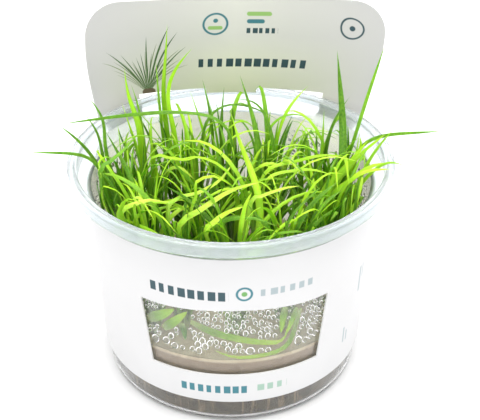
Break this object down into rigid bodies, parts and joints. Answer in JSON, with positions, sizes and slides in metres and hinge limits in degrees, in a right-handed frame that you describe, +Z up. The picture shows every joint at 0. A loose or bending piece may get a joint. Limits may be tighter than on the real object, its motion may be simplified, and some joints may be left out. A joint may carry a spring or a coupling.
{
  "type": "creeping rush tissue culture cup",
  "caption": "Clear plastic culture cup in a white card sleeve with a window and a header, holding a dense tuft of creeping rush plantlets on nutrient gel.",
  "frame": {"origin": "centre of the cup's flat base face, on the surface it stands on", "axes": "+Z up out of the cup, the sleeve's window faces -Y, the header stands at +Y, +X to the right seen from the front"},
  "size_m": [0.128, 0.101, 0.1065],
  "materials": {
    "clear_plastic": "clear, thin and glossy, frosted a little on the rim",
    "white_card": null,
    "gel": "translucent brownish jelly, glossy on top",
    "leaf": "smooth satin leaf, pale to dark green, brownish at the foot"
  },
  "bodies": {
    "root": {"cup": "clear_plastic", "card_sleeve": "white_card", "nutrient_gel": "gel", "rush_plantlet_01": "leaf", "rush_plantlet_02": "leaf", "rush_plantlet_03": "leaf", "rush_plantlet_04": "leaf", "rush_plantlet_05": "leaf", "rush_plantlet_06": "leaf", "rush_plantlet_07": "leaf", "rush_plantlet_08": "leaf", "rush_plantlet_09": "leaf", "rush_plantlet_10": "leaf", "rush_plantlet_11": "leaf", "rush_plantlet_12": "leaf", "rush_plantlet_13": "leaf", "rush_plantlet_14": "leaf", "rush_plantlet_15": "leaf", "rush_plantlet_16": "leaf", "rush_plantlet_17": "leaf", "rush_plantlet_18": "leaf", "rush_plantlet_19": "leaf", "rush_plantlet_20": "leaf", "rush_plantlet_21": "leaf", "rush_plantlet_22": "leaf"}
  },
  "joints": []
}
